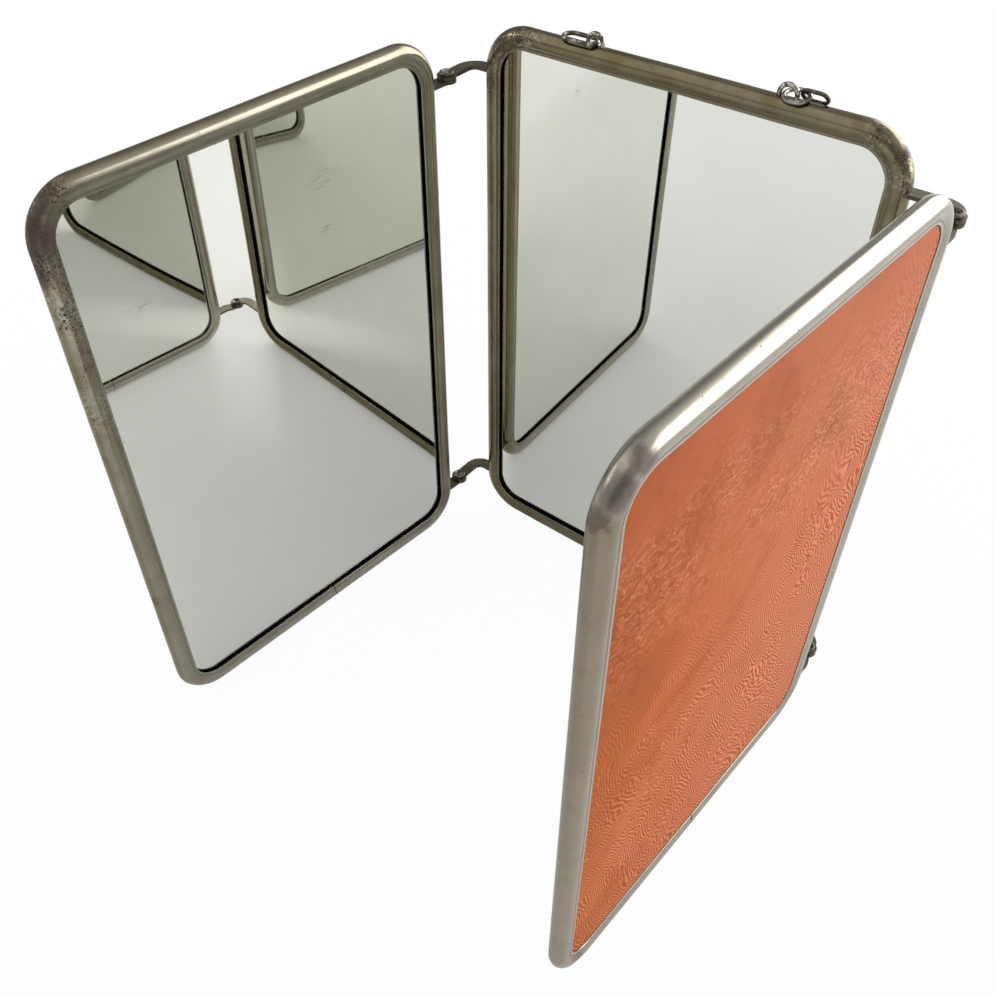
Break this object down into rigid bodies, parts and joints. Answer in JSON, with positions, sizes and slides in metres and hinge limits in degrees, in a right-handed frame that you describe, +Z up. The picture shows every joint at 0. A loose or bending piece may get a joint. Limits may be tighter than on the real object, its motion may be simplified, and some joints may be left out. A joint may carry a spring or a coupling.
{
  "type": "trifold mirror",
  "caption": "Standing folding mirror: framed rounded panels joined by riveted strip hinges, with wire hanging eyes and loose links on the middle panel's top edge.",
  "frame": {"origin": "middle of the flat along the bottom edge of the centre panel's frame, on the surface it stands on, half way through the panel's thickness", "axes": "+X to the right along the centre panel as its mirror is faced, +Y back away from the mirror side, +Z up"},
  "size_m": [0.1915, 0.175, 0.2242],
  "materials": {
    "nickel_frame": "tarnished nickel plate on rolled steel, satin, with brown and black pits",
    "mirror_glass": "silvered glass with a faint green cast",
    "backing_board": "pressed board, matt",
    "back_cover": "terracotta coated paper with a fine wavy grain, satin",
    "hinge_strip": "plated steel strip, dull and browned",
    "rivet": "plated tubular rivet, worn on the rim",
    "wire": "bright nickel-plated wire with dark tarnish in the crevices"
  },
  "bodies": {
    "centre": {"centre_frame": "nickel_frame", "centre_mirror_glass": "mirror_glass", "centre_backing_board": "backing_board", "centre_back_cover": "back_cover", "centre_frame_splice": "nickel_frame", "centre_left_upper_arm": "hinge_strip", "centre_left_lower_arm": "hinge_strip", "centre_right_upper_arm": "hinge_strip", "centre_right_lower_arm": "hinge_strip", "pivot_rivets": "rivet", "left_hanging_eye": "wire", "right_hanging_eye": "wire"},
    "left_wing": {"left_frame": "nickel_frame", "left_mirror_glass": "mirror_glass", "left_backing_board": "backing_board", "left_back_cover": "back_cover", "left_frame_splice": "nickel_frame", "left_wing_upper_arm": "hinge_strip", "left_wing_lower_arm": "hinge_strip"},
    "right_wing": {"right_frame": "nickel_frame", "right_mirror_glass": "mirror_glass", "right_backing_board": "backing_board", "right_back_cover": "back_cover", "right_frame_splice": "nickel_frame", "right_wing_upper_arm": "hinge_strip", "right_wing_lower_arm": "hinge_strip"},
    "left_link": {"left_link": "wire"},
    "right_ring": {"right_ring": "wire"},
    "right_link": {"right_link": "wire"}
  },
  "joints": [
    {"name": "left_wing_hinge", "type": "hinge", "parent": "centre", "child": "left_wing", "pos_m": [-0.0822, -0.014, 0.11], "axis": [0, 0, -1], "range_deg": [-94.8, 138]},
    {"name": "right_wing_hinge", "type": "hinge", "parent": "centre", "child": "right_wing", "pos_m": [0.089, -0.0056, 0.11], "axis": [0, 0, 1], "range_deg": [-87.6, 213]},
    {"name": "left_link_swing", "type": "hinge", "parent": "centre", "child": "left_link", "pos_m": [-0.0313, 0, 0.22095], "axis": [0, 0.9613, 0.2756], "range_deg": [0, 160]},
    {"name": "right_ring_swing", "type": "hinge", "parent": "centre", "child": "right_ring", "pos_m": [0.03315, 0, 0.22082], "axis": [0, -0.9848, -0.1736], "range_deg": [0, 160]},
    {"name": "right_link_swing", "type": "hinge", "parent": "right_ring", "child": "right_link", "pos_m": [0.0376, 0.00232, 0.22082], "axis": [0, -0.5344, 0.8453], "range_deg": [0, 60]}
  ]
}
